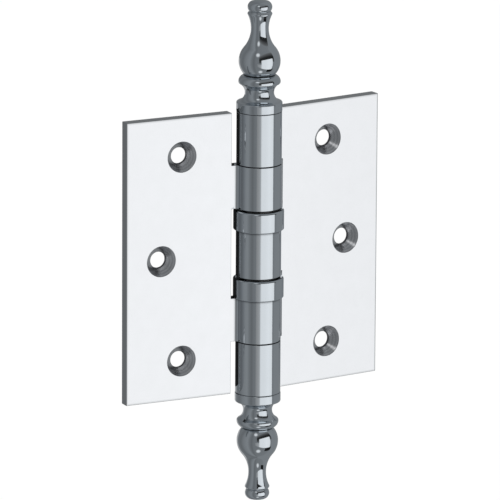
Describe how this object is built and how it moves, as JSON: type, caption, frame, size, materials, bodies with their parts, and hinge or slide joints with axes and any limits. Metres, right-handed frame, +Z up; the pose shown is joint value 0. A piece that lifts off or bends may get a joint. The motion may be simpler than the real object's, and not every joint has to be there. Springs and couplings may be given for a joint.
{
  "type": "ball bearing hinge",
  "caption": "Polished chrome butt hinge with square-cornered countersunk leaves, cased ball bearings between the knuckles and turned finials.",
  "frame": {"origin": "on the pin axis, at the middle of the barrel's height", "axes": "+Z up along the pin, +X towards the frame leaf, -Y out of the leaves' countersunk front faces"},
  "size_m": [0.1012, 0.0178, 0.181],
  "materials": {
    "polished_chrome": "polished chrome plate on drawn and turned brass",
    "pin_steel": "ground steel",
    "race_steel": "hardened and ground steel",
    "ball_steel": "polished bearing steel",
    "cage_brass": "stamped brass"
  },
  "bodies": {
    "frame_side": {"frame_leaf": "polished_chrome", "hinge_pin": "pin_steel", "top_finial": "polished_chrome", "bottom_finial": "polished_chrome", "upper_bearing_case": "polished_chrome", "upper_bearing_lower_race": "race_steel", "lower_bearing_upper_race": "race_steel"},
    "door_side": {"door_leaf": "polished_chrome", "upper_bearing_upper_race": "race_steel", "lower_bearing_case": "polished_chrome", "lower_bearing_lower_race": "race_steel"},
    "upper_ball_ring": {"upper_bearing_cage": "cage_brass", "upper_bearing_ball_01": "ball_steel", "upper_bearing_ball_02": "ball_steel", "upper_bearing_ball_03": "ball_steel", "upper_bearing_ball_04": "ball_steel", "upper_bearing_ball_05": "ball_steel", "upper_bearing_ball_06": "ball_steel", "upper_bearing_ball_07": "ball_steel", "upper_bearing_ball_08": "ball_steel", "upper_bearing_ball_09": "ball_steel", "upper_bearing_ball_10": "ball_steel", "upper_bearing_ball_11": "ball_steel", "upper_bearing_ball_12": "ball_steel"},
    "lower_ball_ring": {"lower_bearing_cage": "cage_brass", "lower_bearing_ball_01": "ball_steel", "lower_bearing_ball_02": "ball_steel", "lower_bearing_ball_03": "ball_steel", "lower_bearing_ball_04": "ball_steel", "lower_bearing_ball_05": "ball_steel", "lower_bearing_ball_06": "ball_steel", "lower_bearing_ball_07": "ball_steel", "lower_bearing_ball_08": "ball_steel", "lower_bearing_ball_09": "ball_steel", "lower_bearing_ball_10": "ball_steel", "lower_bearing_ball_11": "ball_steel", "lower_bearing_ball_12": "ball_steel"}
  },
  "joints": [
    {"name": "door_swing", "type": "hinge", "parent": "frame_side", "child": "door_side", "pos_m": [0, 0, 0], "axis": [0, 0, 1], "range_deg": [-120, 188]},
    {"name": "upper_balls_roll", "type": "hinge", "parent": "frame_side", "child": "upper_ball_ring", "pos_m": [0, 0, 0], "axis": [0, 0, 1], "range_deg": [-60, 94]},
    {"name": "lower_balls_roll", "type": "hinge", "parent": "frame_side", "child": "lower_ball_ring", "pos_m": [0, 0, 0], "axis": [0, 0, 1], "range_deg": [-60, 94]}
  ],
  "couplings": [
    {"joint": "upper_balls_roll", "follows": "door_swing", "ratio": 0.5},
    {"joint": "lower_balls_roll", "follows": "door_swing", "ratio": 0.5}
  ]
}
